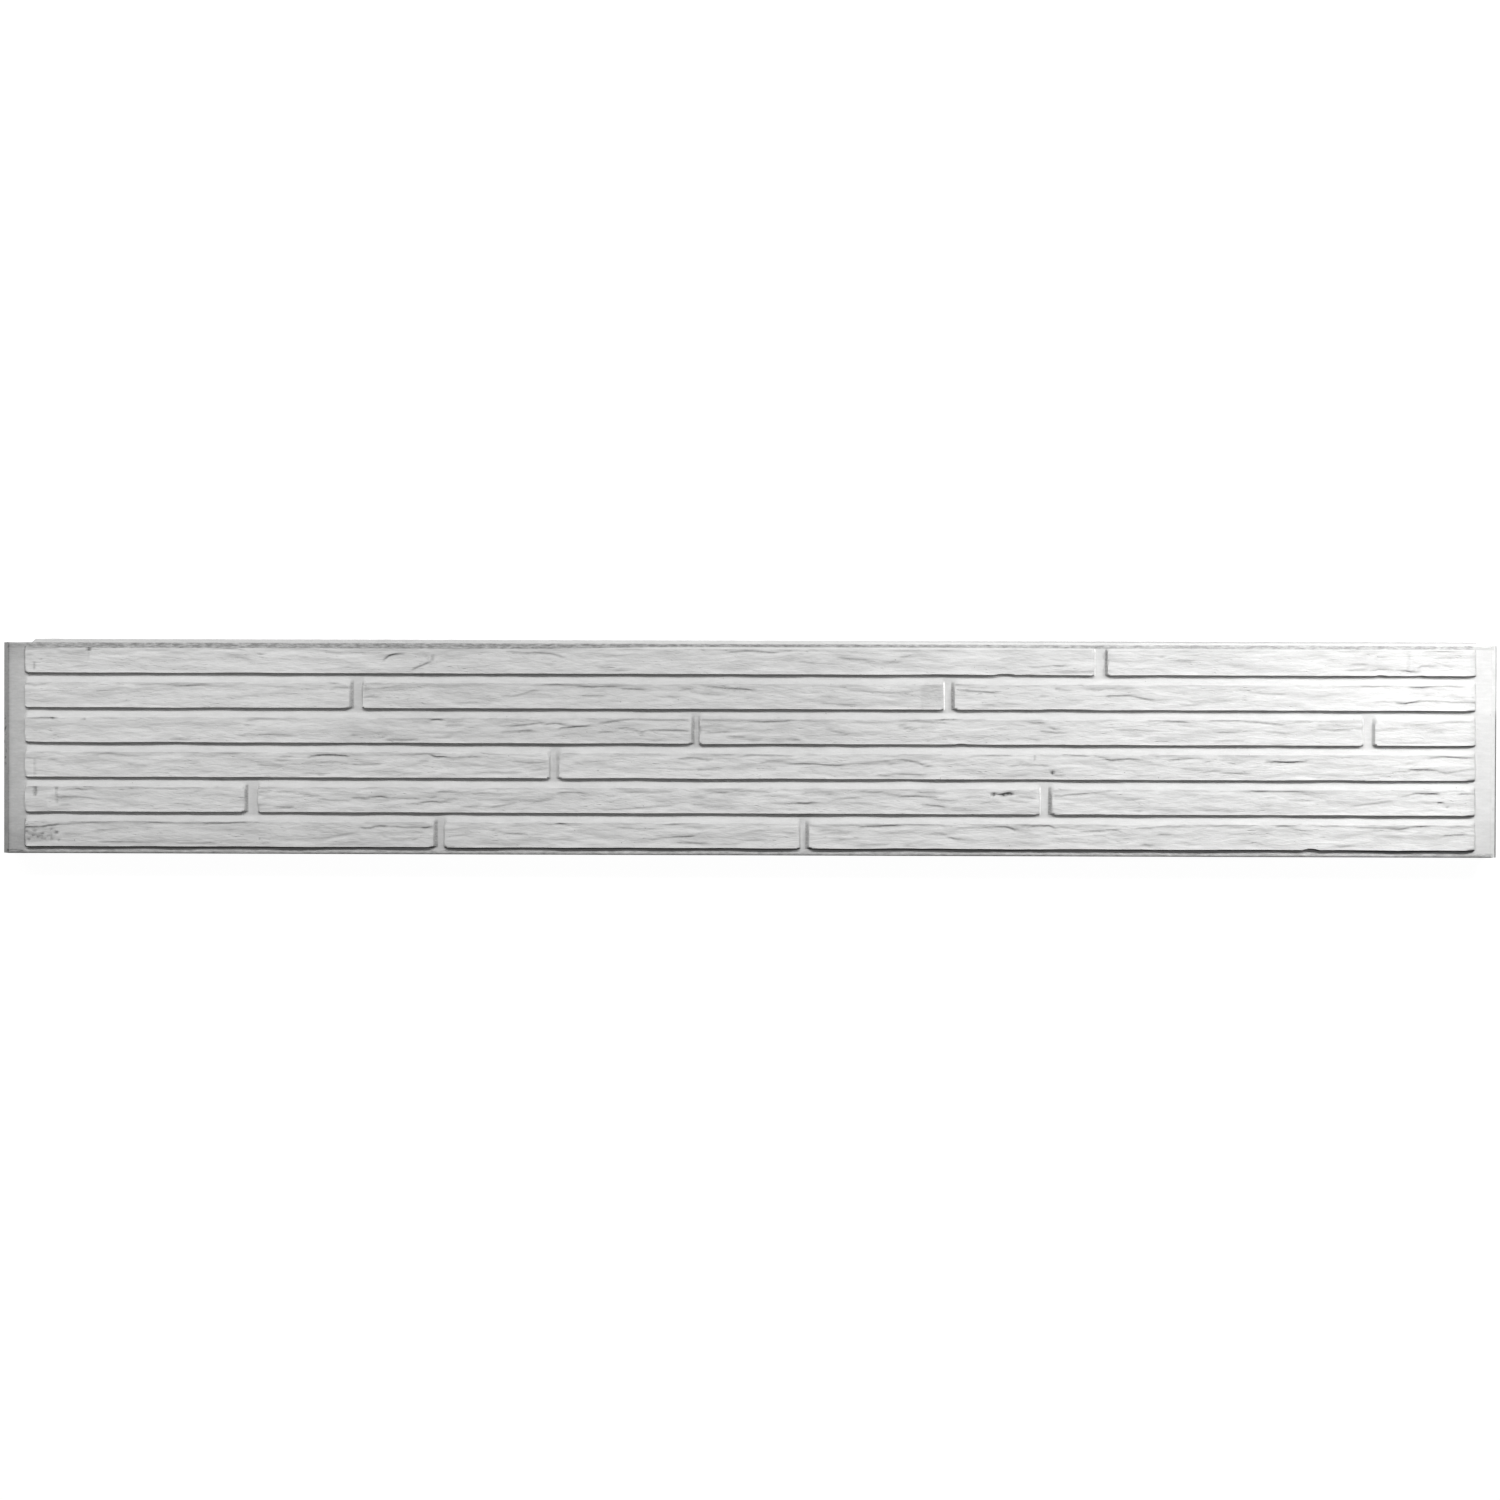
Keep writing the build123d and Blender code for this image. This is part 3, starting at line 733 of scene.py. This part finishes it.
class Shader:
    """A material's or world's node tree, emptied at first, with one method that adds any node."""

    def __init__(self, owner):
        owner.use_nodes = True
        self.tree = owner.node_tree
        self.tree.nodes.clear()

    def node(self, kind, settings=None, sockets=None, output=0):
        """Adds a node of a kind, with its settings first and then the values or wires of its
        sockets, and gives one of its outputs, or the node itself if it has none."""
        made = self.tree.nodes.new(kind)
        for name, value in (settings or {}).items():
            setattr(made, name, value)
        for name, value in (sockets or {}).items():
            if isinstance(value, Wire):
                self.tree.links.new(value.output, made.inputs[name])
            else:
                made.inputs[name].default_value = value
        return Wire(self, made.outputs[output]) if made.outputs else made

    def scaled(self, vector, factors):
        """The vector with its X, Y and Z each times its own factor."""
        return self.node("ShaderNodeVectorMath", {"operation": "MULTIPLY"}, {0: vector, 1: factors})

    def clouds(self, vector, sizes, detail=2.0, roughness=0.5, distortion=0.0):
        """Noise about 0 whose features have the given sizes along X, Y and Z."""
        stretched = self.scaled(vector, tuple(1 / size for size in sizes))
        found = self.node("ShaderNodeTexNoise", {"noise_dimensions": "3D"},
                          {"Vector": stretched, "Scale": 1.0, "Detail": detail, "Roughness": roughness,
                           "Distortion": distortion})
        return found - 0.5


# Concrete

GREY = 0.56
MOST_DARKENING = 0.85
MILLIMETRE = 0.001


def painted_light_patches(x, y):
    """Painted shade over the upper courses from the left towards the middle and along the foot at the left
    and at the right end, and a painted pool of light on the second course at the right end.
    """
    middle = x.ramp(-600, -400) * x.ramp(220, 40) * y.ramp(-20, 15)
    foot = x.ramp(-250, -450) * y.ramp(-84, -92)
    foot_right = x.ramp(700, 860) * y.ramp(-84, -92)
    pale_right = x.ramp(600, 760) * y.ramp(42, 48) * y.ramp(86, 80)
    return 0.05 * pale_right - 0.09 * middle - 0.06 * foot - 0.06 * foot_right


def edge_dirt_and_shade(s, mm, x, y, z, left_flange, speckle):
    """Dirt on the top margin, the tongue and the bottom margin, the chamfer and face of the left end
    darker with its dark chips, and a painted shade line down the right end's edge, darkest low down."""
    rightward = x.ramp(0, 500)
    leftward = x.ramp(0, -600)
    right_flange = x.ramp(RELIEF_END - 6, RELIEF_END + 4)
    near_front = z.ramp(PLATE - 5, PLATE - 2.5)

    on_tongue = y.ramp(SHOULDER + 0.2, SHOULDER + 0.8)
    tongue_rim = y.ramp(SHOULDER + 2.4, SHOULDER + 3.6)
    narrowed = y - 3 * x.ramp(-280, -60) + 1.2 * x.ramp(200, 600)
    margin = narrowed.ramp(SHOULDER - TOP_MARGIN - 1.2, SHOULDER - TOP_MARGIN + 0.2) * near_front
    margin = margin * (1 - on_tongue) * (1 - 0.75 * left_flange) * (1 - 0.5 * right_flange)
    bottom = y.ramp(BOTTOM_EDGE + 5.8, BOTTOM_EDGE + 4.8) * near_front
    dirt_and_shading = margin * (0.47 - 0.14 * rightward + 1.2 * speckle) + bottom * (0.16 + 1.2 * speckle)
    dirt_and_shading = dirt_and_shading + on_tongue * (0.1 + 0.14 * leftward + 0.3 * rightward * tongue_rim)

    front = z.ramp(PLATE - END_CHAMFER - 6, PLATE - END_CHAMFER)
    left_end = x.ramp(-END_FACE + END_CHAMFER + 1, -END_FACE + END_CHAMFER - 1)
    worn_end = x.ramp(-END_FACE + 30, -END_FACE + 8)
    # Painted shade along the right end's edge, darker on its lower part
    right_edge_shade = x.ramp(END_FACE - 2.8, END_FACE - 1.4) * (0.35 + 0.45 * y.ramp(54, 36))
    chips = x.ramp(-END_FACE + 6, -END_FACE + 2) * y.ramp(-32, -22) * y.ramp(42, 32)
    chips = chips * s.clouds(mm, (4, 5, 4), detail=2).ramp(0.03, 0.13) * 0.4
    return dirt_and_shading + front * (left_end * (0.38 + 0.3 * speckle) + 0.07 * worn_end + right_edge_shade + chips)


def plate_dirt_and_shade(x, y, z, normal_y, left_flange, speckle, blotch):
    """Painted shade on the lower walls of the strips, where their shadows fall, most under the lowest course
    and towards the right end; dirt on the plain flanges and on the floor of the joints."""
    # Painted shade on the strips' lower walls, which face away from the lamps
    underside_shade = normal_y.ramp(-0.35, -0.8) * z.ramp(PLATE - 2, PLATE + 0.5)
    lowest = y.ramp(BOTTOM_EDGE + BOTTOM_MARGIN + 2, BOTTOM_EDGE + BOTTOM_MARGIN)
    far_right = x.ramp(620, 850)
    on_plate = z.ramp(PLATE - 1.8, PLATE - 0.4)
    right_flange = x.ramp(RELIEF_END - 40, RELIEF_END + 5)
    corner = y.ramp(SHOULDER - 32, SHOULDER - 4)
    foot_end = y.ramp(-100, -112)
    joint_floor = z.ramp(PLATE - 0.6, PLATE - 0.2) * z.ramp(PLATE + 5.4, PLATE + 4.4)
    dirt_and_shading = underside_shade * (0.42 + 0.36 * lowest + 0.12 * far_right) + 0.07 * joint_floor
    dirt_and_shading = dirt_and_shading + on_plate * left_flange * (0.13 + 0.3 * speckle + 0.14 * corner + 0.1 * foot_end)
    return dirt_and_shading + on_plate * right_flange * (0.05 + 0.35 * blotch)


def concrete():
    """Cast concrete: mottled light grey with streaks along the slab, painted patches of shade and light,
    sandy grain, thin dashes, pinholes, dirt along the edges and on the plate, and painted shade in the
    dashes, pinholes, creases and under the strips, with painted shade and highlight on their end walls."""
    material = bpy.data.materials.new("cast_concrete")
    s = Shader(material)
    place = s.node("ShaderNodeTexCoord", output=3)
    mm = s.scaled(place, (1000, 1000, 1000))
    x, y, z = [s.node("ShaderNodeSeparateXYZ", sockets={0: mm}, output=i) for i in range(3)]
    normal = s.node("ShaderNodeNewGeometry", output=1)
    normal_y = s.node("ShaderNodeSeparateXYZ", sockets={0: normal}, output=1)
    shading_and_soiling = s.node("ShaderNodeAttribute", {"attribute_name": "shading_and_soiling"}, output=2)
    on_face = z.ramp(PLATE + 2.5, PLATE + 4)

    broad = s.clouds(mm, (300, 170, 200))
    blotch = s.clouds(mm, (34, 11, 30), detail=3)
    cloudy = s.clouds(mm, (12, 5, 10), detail=1)
    streak = s.clouds(mm, (14, 2.8, 7), detail=1.5, roughness=0.45, distortion=0.4)
    grain = s.clouds(mm, (2, 1.6, 1.8), detail=3, roughness=0.6)
    tone = 1 + 0.09 * broad + 0.18 * blotch + 0.08 * cloudy + 0.15 * streak + 0.15 * grain
    # Painted light: lighter towards the top, with painted patches of shade and light
    tone = tone + 0.00013 * y + painted_light_patches(x, y)

    # Short thin dashes, in patches, with painted shade in their grooves
    patch = s.clouds(mm, (60, 20, 40), detail=2).ramp(-0.04, 0.08)
    dash = s.clouds(mm, (9, 1.9, 6), detail=1.5, distortion=0.4).ramp(0.10, 0.28) * patch * on_face

    # Pinholes, in a few of the cells of a lattice, with painted shade in them
    cells = s.node("ShaderNodeTexVoronoi", {"voronoi_dimensions": "3D", "feature": "F1"},
                   {"Vector": s.scaled(mm, (1 / 14, 1 / 14, 1 / 14)), "Scale": 1})
    chance = s.node("ShaderNodeSeparateColor", sockets={0: cells.beside("Color")})
    hole = cells.ramp(0.07, 0.02) * chance.ramp(0.7, 0.8)

    # Dirt and painted shade, and the grey that is left of the concrete
    ragged = s.clouds(mm, (5, 2.2, 3), detail=3, roughness=0.65)
    speckle = s.clouds(mm, (8, 2.2, 4), detail=3, roughness=0.7)
    left_flange = x.ramp(-RELIEF_END + 2, -RELIEF_END - 3)
    dirt_and_shading = edge_dirt_and_shade(s, mm, x, y, z, left_flange, speckle)
    dirt_and_shading = dirt_and_shading + plate_dirt_and_shade(x, y, z, normal_y, left_flange, speckle, blotch)
    # Painted shade in the dashes, and the dirt with the painted shade and highlight that the attribute
    # carries
    dirt_and_shading = dirt_and_shading + 0.17 * dash + 0.38 * shading_and_soiling * (1 + 2.2 * ragged)
    # Painted shade in the pinholes
    value = GREY * tone * (1 - 0.35 * hole) * (1 - dirt_and_shading.math("MINIMUM", MOST_DARKENING))
    colour = s.node("ShaderNodeCombineColor", sockets={0: value, 1: value, 2: value * 0.995})

    # Small relief in millimetres: wrinkles on the faces, grain everywhere
    fold = s.clouds(mm, (13, 3.4, 7), detail=1.8, roughness=0.4, distortion=0.4)
    small = on_face * (0.85 * fold) - 0.35 * dash + 0.09 * grain - 0.4 * hole
    bump = s.node("ShaderNodeBump", sockets={"Strength": 1, "Distance": MILLIMETRE, "Height": small})

    surface = s.node("ShaderNodeBsdfPrincipled",
                     sockets={"Base Color": colour, "Roughness": 0.9 + 0.3 * grain, "Normal": bump,
                              "Specular IOR Level": 0.25})
    s.node("ShaderNodeOutputMaterial", sockets={"Surface": surface})
    return material


slab = tube_mesh("fence_slab_cast", *casting_rows(column_places()))
slab.data.materials.append(concrete())
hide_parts("fence_slab")
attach(slab, "root")


# Studio

SHADOW_SHARE = 0.12  # of what the camera sees of the floor
FLOOR_HALF = 15.0  # metres
PAPER = 0.8
GLOW = 1.1
AIR = 0.18


def studio_floor():
    """A wide pale floor that the camera sees as nearly white, with the slab's shadow kept."""
    mesh = bpy.data.meshes.new("studio_floor")
    corners = [(FLOOR_HALF * a, FLOOR_HALF * b, 0) for a, b in ((-1, -1), (1, -1), (1, 1), (-1, 1))]
    mesh.from_pydata(corners, [], [(0, 1, 2, 3)])
    floor = placed("studio_floor", mesh)
    material = bpy.data.materials.new("studio_paper")
    s = Shader(material)
    matt = s.node("ShaderNodeBsdfDiffuse", sockets={"Color": (PAPER, PAPER, PAPER, 1)})
    glow = s.node("ShaderNodeEmission", sockets={"Color": (1, 1, 1, 1), "Strength": GLOW})
    rays = s.node("ShaderNodeLightPath")
    seen = rays + rays.beside("Is Glossy Ray") + rays.beside("Is Transmission Ray")
    share = seen.math("MINIMUM", 1.0) * (1 - SHADOW_SHARE)
    mixed = s.node("ShaderNodeMixShader", sockets={0: share, 1: matt, 2: glow})
    s.node("ShaderNodeOutputMaterial", sockets={"Surface": mixed})
    mesh.materials.append(material)


def studio_air(level):
    """Soft light from all round, which the camera sees as white."""
    world = bpy.data.worlds.new("studio_air")
    s = Shader(world)
    rays = s.node("ShaderNodeLightPath")
    soft = s.node("ShaderNodeBackground", sockets={"Color": (1, 1, 1, 1), "Strength": level})
    white = s.node("ShaderNodeBackground", sockets={"Color": (1, 1, 1, 1), "Strength": 1})
    mixed = s.node("ShaderNodeMixShader", sockets={0: rays, 1: soft, 2: white})
    s.node("ShaderNodeOutputWorld", sockets={"Surface": mixed})
    bpy.context.scene.world = world


def lamp(name, place, target, size, power):
    """An area lamp of the given width and height at a place, facing a target."""
    light = bpy.data.lights.new(name, "AREA")
    light.shape = "RECTANGLE"
    light.size, light.size_y = size
    light.energy = power
    piece = placed(name, light)
    piece.location = place
    facing = np.array(target, float) - np.array(place, float)
    piece.rotation_mode = "QUATERNION"
    piece.rotation_quaternion = Vector(facing).to_track_quat("-Z", "Y")


studio_floor()
studio_air(AIR)
lamp("top_light", (-0.15, 2, 2.6), (-0.1, 0, 0), (3.2, 0.4), 110)
lamp("left_light", (-1.5, 0.6, 1), (-0.6, 0, 0), (0.3, 0.3), 3)
lamp("right_light", (1.2, 0.5, 0.8), (0.85, 0, 0), (0.25, 0.25), 10.2)

# Camera, fitted to the lines of the courses and the ends of the slab in the photograph, with the
# focal length found in pixels of the photograph's width
SENSOR_WIDTH = 36.0
FOCAL_PIXELS = 2201.64
PHOTO_PIXELS = 1500.0

camera_data = bpy.data.cameras.new("camera")
camera = placed("camera", camera_data)
camera.location = (0.02149, 0.01570, 2.748)
camera.rotation_euler = (-0.00682, 0.00719, 0.00294)
camera_data.sensor_width = SENSOR_WIDTH
camera_data.lens = SENSOR_WIDTH * FOCAL_PIXELS / PHOTO_PIXELS
camera_data.clip_start = 0.05
camera_data.clip_end = 60.0
bpy.context.scene.camera = camera
bpy.context.scene.view_settings.view_transform = "Standard"
